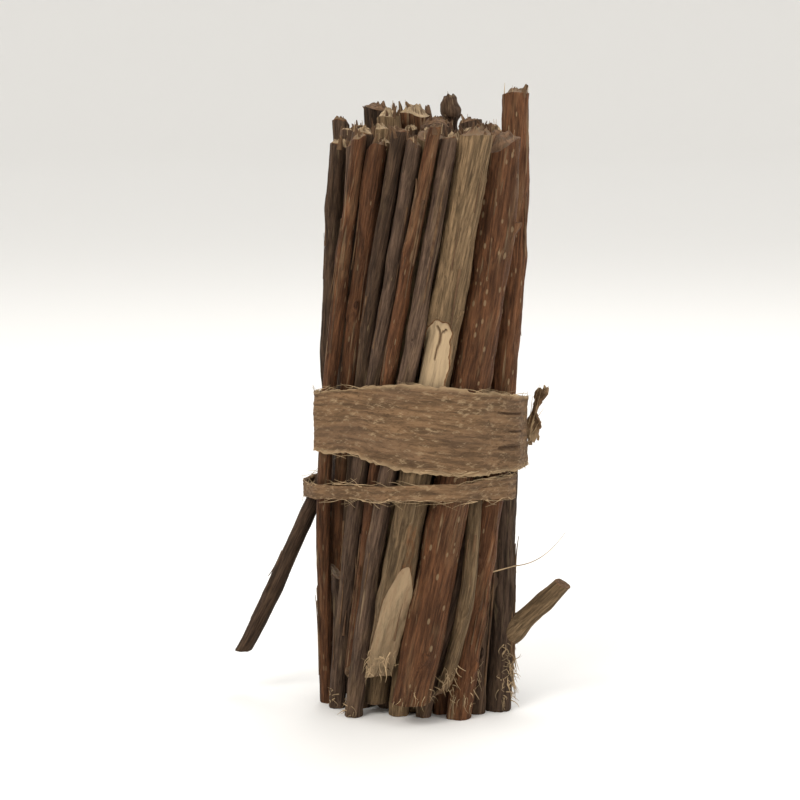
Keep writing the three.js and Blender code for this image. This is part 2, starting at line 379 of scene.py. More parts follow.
def lenticel_group():
    """Small raised pale pores, scattered round the stick."""
    inputs = {"Grain": ("Vector", None), "Share": ("Float", 0.5)}
    nodes, given, put = new_group("Lenticels", inputs, ("Mask",))
    place = nodes.add("ShaderNodeSeparateXYZ", {0: given.outputs["Grain"]}).outputs
    front = nodes.times(place[1], -1.0)
    across = nodes.times(nodes.math("ARCTAN2", place[0], front), 3.2)
    along = nodes.times(place[2], 0.45)
    spread = nodes.add("ShaderNodeCombineXYZ", {0: across, 1: along}).outputs[0]
    links = {"Vector": spread, "Scale": 1.0, "Randomness": 1.0}
    cells = nodes.add("ShaderNodeTexVoronoi", links, voronoi_dimensions="2D")
    lot = nodes.add("ShaderNodeSeparateColor", {0: cells.outputs["Color"]})
    reach = nodes.times(lot.outputs[1], 0.13)
    gap = nodes.minus(cells.outputs["Distance"], reach)
    dot = nodes.ramp(gap, 0.05, 0.16, 1.0, 0.0)
    drawn = nodes.math("LESS_THAN", lot.outputs[0], given.outputs["Share"])
    nodes.link(nodes.times(dot, drawn), put.inputs["Mask"])


def bare_wood_group():
    """Where the bark is gone: Mask is the bare wood and Rim its torn inner bark."""
    inputs = {"Grain": ("Vector", None), "Bare": ("Float", 0.0)}
    nodes, given, put = new_group("Bare wood", inputs, ("Mask", "Rim"))
    ragged = nodes.streaks(given.outputs["Grain"], (1.6, 1.6, 0.7), 2.0)
    shift = nodes.times(nodes.minus(ragged, 0.5), 0.5)
    edge = nodes.plus(given.outputs["Bare"], shift)
    nodes.link(nodes.ramp(edge, 0.52, 0.66), put.inputs["Mask"])
    nodes.link(nodes.ramp(edge, 0.22, 0.5), put.inputs["Rim"])


def wood_grain_group():
    """Cut wood: Ring is the year rings and fibres, Pith the soft middle, Pore the fine roughness.

    Check is the cracks that run out from the pith of a dry end."""
    inputs = {"Grain": ("Vector", None), "Core": ("Float", 0.0)}
    nodes, given, put = new_group("Wood grain", inputs, ("Ring", "Pith", "Pore", "Check"))
    grain = given.outputs["Grain"]
    fine = nodes.streaks(grain, (3.0, 3.0, 0.3), 3.0, 0.7)
    broad = nodes.streaks(grain, (0.9, 0.9, 0.09), 2.0)
    fibre = nodes.plus(nodes.times(fine, 0.5), nodes.times(broad, 0.5))
    core = nodes.plus(given.outputs["Core"], nodes.times(fibre, 0.22))
    wave = nodes.math("SINE", nodes.times(core, 24.0))
    ring = nodes.plus(nodes.times(wave, 0.06), fibre)
    pore = nodes.streaks(grain, (3.0, 3.0, 2.0), 3.0, 0.7)
    nodes.link(ring, put.inputs["Ring"])
    nodes.link(nodes.ramp(core, 0.22, 0.36, 1.0, 0.0), put.inputs["Pith"])
    nodes.link(pore, put.inputs["Pore"])
    ray = nodes.vector("NORMALIZE", nodes.vector("MULTIPLY", grain, (1.0, 1.0, 0.0)))
    level = nodes.vector("MULTIPLY", grain, (0.0, 0.0, 0.05))
    facing = nodes.vector("ADD", ray, level)
    turn = nodes.math("ABSOLUTE", nodes.minus(nodes.noise(facing, 2.3, 1.0), 0.5))
    check = nodes.times(nodes.ramp(turn, 0.008, 0.03, 1.0, 0.0), nodes.ramp(core, 0.2, 0.34))
    nodes.link(nodes.times(check, nodes.ramp(core, 0.75, 0.95, 1.0, 0.0)), put.inputs["Check"])


def shade(colour, factor):
    """A colour setting made lighter or darker, with alpha."""
    return (*(min(1.0, v * factor) for v in colour), 1.0)


def new_material(name):
    material = bpy.data.materials.new(name)
    material.use_nodes = True
    tree = material.node_tree
    return material, Nodes(tree), tree.nodes["Principled BSDF"]


def bark_material(slot, colour, lenticels, rough):
    """Bark of one kind, with the bare wood that shows through it."""
    colours = bpy.context.scene.colour_settings
    _, nodes, surface = new_material(f"{slot}_skin")
    grain = nodes.attribute("grain", "Vector")
    bark = nodes.group("Bark grain", {"Grain": grain})
    share = nodes.times(nodes.attribute("pores"), lenticels)
    pores = nodes.group("Lenticels", {"Grain": grain, "Share": share})
    bare_value = nodes.attribute("bare")
    bare = nodes.group("Bare wood", {"Grain": grain, "Bare": bare_value})
    core = nodes.attribute("core")
    wood = nodes.group("Wood grain", {"Grain": grain, "Core": core})
    tint = nodes.attribute("tint")
    aged = nodes.attribute("aged")
    crack = nodes.attribute("crack")

    streak = nodes.ramp(bark.outputs["Streak"], 0.33, 0.68)
    skin = nodes.blend(streak, shade(colour, 0.4), shade(colour, 1.25))
    patch = nodes.ramp(bark.outputs["Patch"], 0.5, 0.7, 0.0, 0.22)
    skin = nodes.blend(patch, skin, shade(colours.olive, 1.2))
    skin = nodes.blend(nodes.times(bark.outputs["Peel"], 0.45), skin, shade(colours.fibre, 0.7))
    wrinkle = nodes.ramp(bark.outputs["Wrinkle"], 0.3, 0.7, 0.55, 1.25)
    skin = nodes.blend(1.0, skin, wrinkle, "MULTIPLY")
    pale = nodes.times(pores.outputs["Mask"], 0.55)
    skin = nodes.blend(pale, skin, shade(colours.fibre, 0.75))
    # The tint darkens bark below the band: partly its own tone, partly painted shade.
    bright = nodes.ramp(tint, 0.0, 1.0, 0.72, 1.3)
    skin = nodes.add("ShaderNodeHueSaturation", {"Color": skin, "Value": bright}).outputs[0]
    torn = nodes.blend(streak, shade(colours.inner, 0.45), shade(colours.inner, 1.1))
    skin = nodes.blend(bare.outputs["Rim"], skin, torn)

    ring = nodes.ramp(wood.outputs["Ring"], 0.36, 0.66)
    cut = nodes.blend(ring, shade(colours.wood, 0.6), shade(colours.wood, 1.1))
    cut = nodes.blend(nodes.times(wood.outputs["Pith"], 0.4), cut, shade(colours.pith, 1.0))
    # Dark weathered wood mixed into the cut: real weathering at the upper ends, painted shade at the feet.
    worn_and_shaded = nodes.ramp(nodes.plus(wood.outputs["Ring"], aged), 0.7, 1.2, 0.0, 0.88)
    old_and_shaded = nodes.blend(ring, shade(colours.weathered_and_shade, 0.4), shade(colours.weathered_and_shade, 1.15))
    cut = nodes.blend(worn_and_shaded, cut, old_and_shaded)
    # Cracks and checks are painted dark: painted shade in their gaps.
    split = nodes.math("MAXIMUM", crack, wood.outputs["Check"])
    cut = nodes.blend(nodes.times(split, 0.75), cut, shade(colours.inner, 0.35))
    nodes.link(nodes.blend(bare.outputs["Mask"], skin, cut), surface.inputs["Base Color"])

    surface.inputs["Specular IOR Level"].default_value = 0.12
    gloss = nodes.ramp(bark.outputs["Streak"], 0.3, 0.7, rough + 0.12, rough - 0.08)
    nodes.link(gloss, surface.inputs["Roughness"])
    ridges = nodes.times(bark.outputs["Streak"], 1.3)
    relief = nodes.plus(bark.outputs["Wrinkle"], ridges)
    relief = nodes.plus(relief, nodes.times(pores.outputs["Mask"], 0.35))
    kept = nodes.minus(1.0, bare.outputs["Mask"])
    grained = nodes.plus(wood.outputs["Ring"], nodes.times(wood.outputs["Pore"], 0.3))
    grained = nodes.minus(grained, nodes.times(wood.outputs["Check"], 0.6))
    relief = nodes.times(relief, kept)
    relief = nodes.plus(relief, nodes.times(grained, bare.outputs["Mask"]))
    nodes.bump(surface, relief, 0.75, 0.35 * MM)


def bast_material():
    """Felted bast: flecks and fibres along the strip, paler where its edges are torn."""
    colours = bpy.context.scene.colour_settings
    _, nodes, surface = new_material("bast_skin")
    grain = nodes.attribute("grain", "Vector")
    torn = nodes.attribute("torn")
    slit = nodes.attribute("slit")
    rising = nodes.streaks(nodes.turned(grain, (0, 0.45, 0)), (0.7, 2.2, 2.2), 4.0, 0.7)
    falling = nodes.streaks(nodes.turned(grain, (0, -0.3, 0)), (0.5, 1.9, 1.9), 4.0, 0.7)
    fleck = nodes.times(nodes.plus(rising, falling), 0.5)
    strand = nodes.streaks(grain, (0.16, 1.5, 1.5), 4.0, 0.7, 0.25)
    patch = nodes.streaks(grain, (0.09, 0.2, 0.2), 1.0)
    skin = nodes.blend(nodes.ramp(strand, 0.34, 0.68), shade(colours.bast, 0.5), shade(colours.bast, 1.22))
    light = nodes.ramp(fleck, 0.52, 0.64, 0.0, 0.6)
    skin = nodes.blend(light, skin, shade(colours.fibre, 1.0))
    dark = nodes.ramp(fleck, 0.37, 0.46, 0.65, 0.0)
    skin = nodes.blend(dark, skin, shade(colours.bast, 0.34))
    skin = nodes.blend(nodes.ramp(patch, 0.45, 0.7, 0.0, 0.3), skin, shade(colours.grey, 1.0))
    skin = nodes.blend(nodes.ramp(torn, 0.5, 1.0, 0.0, 0.6), skin, shade(colours.fibre, 1.05))
    # The splits are painted dark: painted shade in their gaps.
    skin = nodes.blend(nodes.times(slit, 0.65), skin, shade(colours.weathered_and_shade, 0.45))
    nodes.link(skin, surface.inputs["Base Color"])
    surface.inputs["Specular IOR Level"].default_value = 0.2
    nodes.link(nodes.ramp(fleck, 0.35, 0.65, 0.95, 0.78), surface.inputs["Roughness"])
    relief = nodes.plus(fleck, nodes.times(strand, 1.2))
    nodes.bump(surface, relief, 0.9, 0.45 * MM)


def strand_material(name, low, high):
    """Single fibres or splinters, uneven from one to the next and along their length."""
    _, nodes, surface = new_material(name)
    place = nodes.add("ShaderNodeTexCoord").outputs["Object"]
    uneven = nodes.ramp(nodes.noise(place, 400.0, 3.0), 0.3, 0.7)
    nodes.link(nodes.blend(uneven, low, high), surface.inputs["Base Color"])
    surface.inputs["Roughness"].default_value = 0.85
    surface.inputs["Specular IOR Level"].default_value = 0.2


def make_materials():
    """All groups and materials, once."""
    if "bark_red_skin" in bpy.data.materials:
        return
    for build in (bark_grain_group, lenticel_group, bare_wood_group, wood_grain_group):
        build()
    colours = bpy.context.scene.colour_settings
    bark_material("bark_red", colours.red, 0.42, 0.6)
    bark_material("bark_olive", colours.olive, 0.07, 0.68)
    bark_material("bark_grey", colours.grey, 0.05, 0.76)
    bark_material("bark_dark", colours.dark, 0.08, 0.7)
    bast_material()
    strand_material("fibre_skin", shade(colours.fibre, 0.55), shade(colours.fibre, 1.25))
    strand_material("splinter_skin", shade(colours.weathered_and_shade, 0.5), shade(colours.bast, 0.75))


# Twigs

def raise_stick(solid, sides, cuts):
    """A tapered upright stick on the Z axis, cut into rings and left in edit mode."""
    deselect()
    shrink = (2 + math.cos(2 * math.pi / sides)) / 3  # what smoothing takes off a ring of this many sides
    tall = solid.top - solid.foot
    bpy.ops.mesh.primitive_cone_add(
        vertices=sides,
        radius1=solid.radius(solid.foot) / shrink,
        radius2=solid.radius(solid.top) / shrink,
        depth=tall,
        end_fill_type="NGON",
        location=(0, 0, solid.foot + tall / 2),
    )
    stick = bpy.context.object
    stick.name = stick.data.name = f"{solid.node}_wood"
    bpy.ops.object.transform_apply(location=True, rotation=False, scale=False)
    stick.vertex_groups.new(name="bare")
    bpy.ops.object.mode_set(mode="EDIT")
    choose(stick, "edges", lambda e: abs(e.verts[0].co.z - e.verts[1].co.z) > tall / 2)
    bpy.ops.mesh.subdivide(number_cuts=cuts)
    return stick


def swell_node(stick, height, growth, reach, kink):
    """Widens the stick at a node and kinks it a little there."""
    shape = bmesh.from_edit_mesh(stick.data)
    level = min((v.co.z for v in shape.verts), key=lambda z: abs(z - height))
    choose(stick, "verts", lambda v: abs(v.co.z - level) < SAME_PLACE)
    bpy.ops.transform.resize(
        value=(growth, growth, 1), center_override=(0, 0, level), proportional_size=reach, **SOFT
    )
    bpy.ops.transform.translate(value=kink, proportional_size=4 * reach, **SOFT)


def grow_bud(stick, place, out, size):
    """Draws a face of the side out into a bud, narrower towards its tip."""
    choose_nearest_face(stick, place)
    for share, narrowing in ((0.5, 0.8), (0.5, 0.55)):
        step = (out + Vector((0, 0, 0.7))) * size * share
        bpy.ops.mesh.extrude_region_move(TRANSFORM_OT_translate={"value": step})
        bpy.ops.transform.resize(value=(narrowing,) * 3)


def bare_faces(stick, test, bark):
    """Sharpens the outline of a cut and insets it, so that bark is left round the bare wood."""
    choose(stick, "faces", test)
    bpy.ops.mesh.region_to_loop()
    bpy.ops.transform.edge_crease(value=CREASE)
    choose(stick, "faces", test)
    bpy.ops.mesh.inset(thickness=bark)
    bpy.ops.object.vertex_group_assign()


def cut_end(stick, height, slope, radius):
    """Slants an end, keeps its edge sharp and insets its bark, wood and pith."""
    settings = bpy.context.scene.twig_settings

    def is_end(face):
        return len(face.verts) > 5 and abs(face.calc_center_median().z - height) < radius / 2

    choose(stick, "faces", is_end)
    middle = (0, 0, height)
    bpy.ops.transform.rotate(value=math.atan(slope[0]), orient_axis="Y", center_override=middle)
    bpy.ops.transform.rotate(value=-math.atan(slope[1]), orient_axis="X", center_override=middle)
    bare_faces(stick, is_end, min(settings.bark, 0.22 * radius))
    for share in (0.3, 0.25, 0.2):
        bpy.ops.mesh.inset(thickness=share * radius)
        bpy.ops.object.vertex_group_assign()


def tear_end(stick, height, radius, chance):
    """Lifts parts of an upper end unevenly and chips its edge, as in broken wood."""
    def is_picked(vertex):
        inside = math.hypot(vertex.co.x, vertex.co.y) < 0.85 * radius
        return vertex.co.z > height - radius and inside and chance.random() < 0.3

    for _ in range(3):
        choose(stick, "verts", is_picked)
        bpy.ops.transform.translate(value=(0, 0, chance.uniform(0.1, 0.4) * radius))
    for _ in range(2):
        chip = any_side(chance) * 0.35 * radius
        choose(stick, "verts", lambda v: v.co.z > height - 0.5 * radius and v.co.dot(chip) > 0.15 * radius**2)
        bpy.ops.transform.translate(value=(0, 0, -chance.uniform(0.1, 0.5) * radius))


# Spacing of the grid that lets a whittled face take up the ridges of its fibres
SLICE_GRID = 1.1 * MM
# Points this near to a bisecting plane stay where they are and count as lying on it
BISECT_PLAY = 0.1 * MM


def slice_foot(stick, solid, facing, high, share):
    """Whittles a share of the foot away on one side, from the given height down."""
    radius = solid.radius(solid.foot)
    normal = Vector((facing.x * high, facing.y * high, -2 * radius * share)).normalized()
    start = facing * radius + Vector((0, 0, solid.foot + high))

    def is_slice(face):
        face.normal_update()
        near = abs((face.calc_center_median() - start).dot(normal)) < BISECT_PLAY
        return near and face.normal.dot(normal) > 0.98

    bpy.ops.mesh.select_all(action="SELECT")
    bpy.ops.mesh.bisect(plane_co=start, plane_no=normal, use_fill=True, clear_outer=True)
    across = normal.cross(Vector((0, 0, 1))).normalized()
    for line, reach in ((across.cross(normal), high), (across, radius)):
        steps = int(reach / SLICE_GRID)
        for step in range(-steps, steps + 1):
            choose(stick, "faces", is_slice)
            bpy.ops.mesh.bisect(plane_co=start + step * SLICE_GRID * line, plane_no=line)
    bare_faces(stick, is_slice, 0.2 * MM)
    stick.vertex_groups.active = stick.vertex_groups.new(name="sliced")
    bpy.ops.object.vertex_group_assign()
    stick.vertex_groups.active = stick.vertex_groups["bare"]


def add_push(piece, name, height, group, axis="NORMAL"):
    """A displacement that lifts a vertex group by a height."""
    push = piece.modifiers.new(name, "DISPLACE")
    push.direction = axis
    push.strength = height
    push.mid_level = 0
    push.vertex_group = group


def stroke(across, along, points, wide):
    """How deep each point lies in a line drawn through the points, all in the same unit."""
    nearest = np.full(len(across), np.inf)
    for (x0, y0), (x1, y1) in zip(points, points[1:]):
        run = np.array((x1 - x0, y1 - y0))
        share = np.clip(((across - x0) * run[0] + (along - y0) * run[1]) / (run @ run), 0, 1)
        gap = np.hypot(across - x0 - share * run[0], along - y0 - share * run[1])
        nearest = np.minimum(nearest, gap)
    return smooth_step(wide, 0.35 * wide, nearest)


def mark_bark(stick, lip, bare, crack, heights):
    """Raises a lip, sinks the bare wood and opens cracks, each by its height in millimetres."""
    for name, weights, height in zip(("lip", "scar", "crack"), (lip, bare, crack), heights):
        set_weights(stick, name, weights)
        add_push(stick, "Mark", height * MM, name)
        apply_modifiers(stick)
    set_weights(stick, "bare", np.maximum(weights_of(stick, "bare"), bare))


# Cracks of the scar, a stem and two branches: the width, and points right of the stick's front and above
# the floor, all in millimetres
SCAR_CRACKS = (
    (0.42, ((-0.4, 61.4), (-0.3, 60.4))),
    (0.34, ((-0.3, 60.4), (-0.6, 59.3))),
    (0.24, ((-0.6, 59.3), (-0.7, 57.6))),
    (0.22, ((-1.3, 62.6), (-0.4, 61.4))),
    (0.2, ((0.7, 62.0), (-0.4, 61.4))),
)
# The strip of torn bark above the whittled foot, in the same measures
TORN_STRIP = ((0.9, 23.0), (1.3, 27.0), (0.8, 31.5))


def scar_bark(stick, solid):
    """Bare wood with a torn edge and a forked crack above the band, and torn bark lower down."""
    x, y, z = places_of(stick).T
    along = z / MM
    across = np.arctan2(x, -y) * solid.radius(60 * MM) / MM
    ragged = 0.3 * np.sin(0.8 * along + 0.6) + 0.12 * np.sin(2.3 * along + 4) + 0.07 * np.sin(5.3 * along)
    right = 1.9 + ragged - across
    upper = 63.4 - 0.24 * (across + 1) ** 2 + 0.15 * np.sin(3.1 * across) - along
    inside = np.minimum.reduce((right, across + 5.4, upper, along - 50))
    lip = smooth_step(-1.2, -0.5, inside) * smooth_step(0.15, -0.2, inside)
    torn = 0.34 * stroke(across, along, TORN_STRIP, 1.5)
    bare = np.maximum(smooth_step(-0.4, 0.4, inside), torn)
    crack = np.max([stroke(across, along, line, wide) for wide, line in SCAR_CRACKS], axis=0)
    mark_bark(stick, lip, bare, crack, (0.2, -0.35, -0.35))


def level_foot(stick, solid):
    """Flattens what the roughness pushed below the foot."""
    bpy.ops.object.mode_set(mode="EDIT")
    choose(stick, "verts", lambda v: v.co.z < solid.foot)
    bpy.ops.transform.resize(value=(1, 1, 0), center_override=(0, 0, solid.foot))
    bpy.ops.object.mode_set(mode="OBJECT")


def add_displace(
    piece, name, size, stretch, strength, seed, group="", inverted=False, hard=False, axis="NORMAL"
):
    """A displacement by noise of the given grain size, stretched along the axes and shifted by the seed."""
    noise = bpy.data.textures.new(name, "CLOUDS")
    noise.noise_scale = 1.0
    noise.noise_depth = 3
    noise.noise_type = "HARD_NOISE" if hard else "SOFT_NOISE"
    bpy.ops.object.empty_add(location=(seed, -seed, 0.37 * seed))
    guide = bpy.context.object
    guide.scale = [size * s for s in stretch]
    bpy.context.view_layer.update()
    displace = piece.modifiers.new(name, "DISPLACE")
    displace.texture = noise
    displace.texture_coords = "OBJECT"
    displace.texture_coords_object = guide
    displace.direction = axis
    displace.strength = strength
    displace.mid_level = 0.5
    displace.vertex_group = group
    displace.invert_vertex_group = inverted
    return guide


def roughen(stick, radius, seed):
    """Gives the stick its lumps and ridges, and the cut faces their roughness."""
    settings = bpy.context.scene.twig_settings
    lump = min(settings.lump, 0.3 * radius)
    ridge = min(settings.ridge, 0.16 * radius)
    guides = [
        add_displace(stick, "Lumps", 2.2 * MM, (1, 1, 4), lump, seed, "bare", True),
        add_displace(stick, "Ridges", 0.8 * MM, (1, 1, 11), ridge, seed, "bare", True, hard=True),
        add_displace(stick, "Cut", 0.8 * MM, (1, 1, 1), settings.roughness, seed, "bare", axis="Z"),
    ]
    if "sliced" in stick.vertex_groups:
        guides.append(add_displace(stick, "Whittled", 1.1 * MM, (1, 1, 6), 0.7 * MM, seed, "sliced"))
    apply_modifiers(stick, guides)


def bend(stick, solid):
    """Carries the straight stick onto its solid's centreline."""
    bpy.ops.object.add(type="LATTICE", location=(0, 0, STATIONS[-1] / 2))
    cage = bpy.context.object
    cage.scale = (20 * MM, 20 * MM, STATIONS[-1])
    cage.data.points_u = cage.data.points_v = 2
    cage.data.points_w = len(STATIONS)
    cage.data.interpolation_type_w = "KEY_CATMULL_ROM"
    for i, point in enumerate(cage.data.points):
        shift = solid.centre(STATIONS[i // 4])
        point.co_deform.x += shift[0] / cage.scale.x
        point.co_deform.y += shift[1] / cage.scale.y
    bpy.context.view_layer.update()
    stick.modifiers.new("Bend", "LATTICE").object = cage
    apply_modifiers(stick, [cage])


# How light the bark of some twigs is above and below the band, from 0 to 1. Others are a little darker below.
# The darker bark below the band is partly its own tone and partly painted shade of the bundle's lower part.
TINTS = {
    "pale_twig": (0.58, 0.1),
    "red_twig": (0.45, 0.4),
    "right_slim_twig": (0.6, 0.15),
    "edge_twig": (0.9, 0.6),
    "knob_twig": (0.9, 0.3),
    "left_twig": (0.3, 0.2),
    "stray_twig": (0.4, 0.45),
    SHOOT: (0.4, 0.4),
}


BAND_ZONE = (34 * MM, 50 * MM)  # heights between which the bark's lightness and pores change
NOISE_SHIFT = 37 * MM  # from one twig's lumps and ridges to the next one's
GRAIN_SHIFT = 211.0  # from one twig's bark to the next one's, in millimetres


def dress_stick(stick, solid, chance, seed, mark=None):
    """Smooths and roughens the stick and stores what its bark reads."""
    face_outwards()
    smooth = stick.modifiers.new("Smooth", "SUBSURF")
    smooth.levels = smooth.render_levels = 2
    apply_modifiers(stick)
    if mark:
        mark(stick, solid)
    roughen(stick, solid.radius(solid.foot), seed * NOISE_SHIFT)
    level_foot(stick, solid)
    straight = places_of(stick)
    height = straight[:, 2]
    values = {name: weights_of(stick, name) for name in ("bare", "crack") if name in stick.vertex_groups}
    near_foot = smooth_step(2 * MM, 1 * MM, height - solid.foot)
    near_top = smooth_step(4 * MM, 3 * MM, solid.top - height)
    share = np.linalg.norm(straight[:, :2], axis=1) / solid.radius(height)
    values["core"] = np.maximum(share, 1 - np.maximum(near_foot, near_top))
    light = chance.random()
    # Darker below the band: partly the bark's own tone, partly painted shade.
    upper, lower = TINTS.get(solid.node, (light, 0.7 * light))
    values["tint"] = lower + (upper - lower) * smooth_step(*BAND_ZONE, height)
    values["pores"] = 0.45 + 0.55 * smooth_step(*BAND_ZONE, height)
    values["pores"] *= 1.0 if solid.node == "red_twig" else 0.2
    old_top = chance.uniform(0.4, 0.8) if chance.random() < 0.6 else chance.uniform(0.05, 0.3)
    values["aged"] = smooth_step(solid.top - 5 * MM, solid.top - 3 * MM, height) * old_top
    # Cut wood near a foot is darker, most on feet above the floor: painted shade, with a little wear.
    foot_shade_and_wear = 0.3 if solid.node == "pale_twig" else 0.55 if solid.foot > 1 * MM else 0.22
    values["aged"] += smooth_step(solid.foot + 25 * MM, solid.foot + 20 * MM, height) * foot_shade_and_wear
    values["grain"] = straight / MM + np.array((0, 0, GRAIN_SHIFT * seed))
    stick.vertex_groups.clear()
    for name, each in values.items():
        write_values(stick, name, each)


def finish_piece(piece, material):
    piece.data.materials.append(bpy.data.materials[material])
    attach(piece, "root")


def hand_over(piece, node, material):
    """Gives a finished piece its material and puts it in its node's place."""
    bpy.ops.object.shade_smooth_by_angle(angle=SMOOTH_ANGLE)
    finish_piece(piece, material)
    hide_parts(node)


def beside(out, angle):
    """A level direction turned by an angle."""
    cos, sin = math.cos(angle), math.sin(angle)
    return Vector((out.x * cos - out.y * sin, out.x * sin + out.y * cos, 0))


def any_side(chance):
    return beside(Vector((1, 0, 0)), chance.uniform(0, 2 * math.pi))


def outward(solid, height):
    """From the bundle's axis out through the twig, at a height."""
    return Vector((*(solid.centre(height) - AXIS), 0)).normalized()


# A node this near to the height of the band's middle would press through the strip, so it is left out
BOUND = 12 * MM


def add_nodes(stick, solid, chance, buds):
    """Swells the stick at uneven steps, with a bud or two on the side that shows."""
    settings = bpy.context.scene.twig_settings
    band_middle = bpy.context.scene.band_settings.middle
    height = solid.foot + settings.node_gap * chance.uniform(0.3, 1.0)
    while height < solid.top - 4 * MM:
        radius = solid.radius(height)
        kink = 0.14 * radius * any_side(chance)
        growth = 1 + settings.swelling * chance.uniform(0.3, 1.2)
        free = abs(height - band_middle) > BOUND
        if free:
            swell_node(stick, height, growth, 1.5 * radius, kink)
        if buds and chance.random() < 0.55:
            out = beside(outward(solid, height), chance.uniform(-1.0, 1.0))
            if free:
                grow_bud(stick, out * radius + Vector((0, 0, height)), out, 0.3 * radius)
        height += settings.node_gap * chance.uniform(0.6, 1.4)


def whittle(stick, solid):
    """A long slanting cut at the foot, towards the front and a little to the right."""
    slice_foot(stick, solid, beside(Vector((0, -1, 0)), 0.35), 17 * MM, 0.66)


def snap(stick, solid):
    """A short slanting break at a foot that ends above the floor."""
    facing = beside(outward(solid, solid.foot), 0.5)
    slice_foot(stick, solid, facing, 2 * solid.radius(solid.foot), 0.75)


def is_steep(edge):
    return abs(edge.verts[0].co.z - edge.verts[1].co.z) > 1.2 * MM


def round_top(stick, solid):
    """A rounded knob on a narrow neck at the upper end."""
    choose(stick, "edges", lambda e: all(v.co.z > solid.top - 8 * MM for v in e.verts) and is_steep(e))
    bpy.ops.mesh.subdivide(number_cuts=3)
    swell_node(stick, solid.top - 4.8 * MM, 0.55, 2 * MM, (0.2 * MM, 0, 0))
    swell_node(stick, solid.top - 2.6 * MM, 1.2, 1.6 * MM, (0, 0, 0))
    swell_node(stick, solid.top - 1.4 * MM, 1.5, 1.4 * MM, (0, 0, 0))
    choose(stick, "faces", lambda f: f.calc_center_median().z > solid.top - 1 * MM and f.normal.z > 0.5)
    bpy.ops.object.vertex_group_remove_from()
    bpy.ops.transform.resize(value=(0.75, 0.75, 1))
    bpy.ops.mesh.region_to_loop()
    bpy.ops.transform.edge_crease(value=-1)


CAGE_WORK = {
    "pale_twig": whittle,
    "left_front_twig": snap,
    "right_slim_twig": snap,
    "slim_twig_1": snap,
    "slim_twig_3": snap,
    "knob_twig": round_top,
}
MARKS = {"pale_twig": scar_bark}


# Sides and cuts of a stick before it is smoothed
MARKED_CAGE = (20, 72)
RIM_CAGE = (12, 40)
HIDDEN_CAGE = (9, 12)


def on_rim(solid):
    """Whether a twig lies at the outside of the bundle, at the band's height."""
    return np.linalg.norm(solid.centre(40 * MM) - AXIS) > 11 * MM


def grow_twig(node):
    """One twig, finer where it lies on the bundle's rim and finest where it is marked."""
    solid = SOLIDS[node]
    seed = TWIGS.index(node) + 1
    chance = random.Random(seed)
    shows = on_rim(solid)
    stick = raise_stick(solid, *(MARKED_CAGE if node in MARKS else RIM_CAGE if shows else HIDDEN_CAGE))
    add_nodes(stick, solid, chance, shows)
    cut_end(stick, solid.top, solid.slope, solid.radius(solid.top))
    cut_end(stick, solid.foot, (0, 0), solid.radius(solid.foot))
    tear_end(stick, solid.top, solid.radius(solid.top), chance)
    if node in CAGE_WORK:
        CAGE_WORK[node](stick, solid)
    dress_stick(stick, solid, chance, seed, MARKS.get(node))
    bend(stick, solid)
    hand_over(stick, node, f"{SLOT_OF[node]}_skin")


class TWIGS_OT_rim(bpy.types.Operator):
    """Model the twigs of the rim that can be told apart"""

    bl_idname = "twigs.rim"
    bl_label = "Rim twigs"

    def execute(self, context):
        make_materials()
        for node in RIM:
            grow_twig(node)
        return {"FINISHED"}


class TWIGS_OT_filling(bpy.types.Operator):
    """Model the twigs that fill the bundle"""

    bl_idname = "twigs.filling"
    bl_label = "Filling twigs"

    def execute(self, context):
        make_materials()
        for node in FILLING:
            grow_twig(node)
        return {"FINISHED"}


# Side shoot

class Stub:
    """The side shoot's measures, upright on the Z axis. It starts inside the twig that carries it."""

    node = SHOOT
    carrier = "shoot_twig"
    height = 13 * MM
    facing = 82
    rise = math.radians(45)
    foot = -2.5 * MM
    top = 10.5 * MM
    slope = (0.3, 0.15)

    def radius(self, height):
        return 1.7 * MM - 0.02 * (height - self.foot)


class TWIGS_OT_shoot(bpy.types.Operator):
    """Model the stub of a side shoot on the right"""

    bl_idname = "twigs.shoot"
    bl_label = "Side shoot"

    def execute(self, context):
        make_materials()
        stub = Stub()
        chance = random.Random(3)
        stick = raise_stick(stub, 12, 12)
        swell_node(stick, 0, 1.35, 3 * MM, (0, 0, 0))
        swell_node(stick, 6.5 * MM, 1.12, 2 * MM, (0.25 * MM, 0.1 * MM, 0))
        cut_end(stick, stub.top, stub.slope, stub.radius(stub.top))
        dress_stick(stick, stub, chance, 77)
        solid = SOLIDS[stub.carrier]
        out = Vector((*round_axis(stub.facing), 0))
        base = solid.point(stub.height) + out * solid.radius(stub.height)
        stick.rotation_euler = (0, math.pi / 2 - stub.rise, math.atan2(out.y, out.x))
        stick.location = base
        bpy.ops.object.transform_apply(location=True, rotation=True, scale=False)
        hand_over(stick, stub.node, f"{SLOT_OF[stub.node]}_skin")
        return {"FINISHED"}


# Bast band

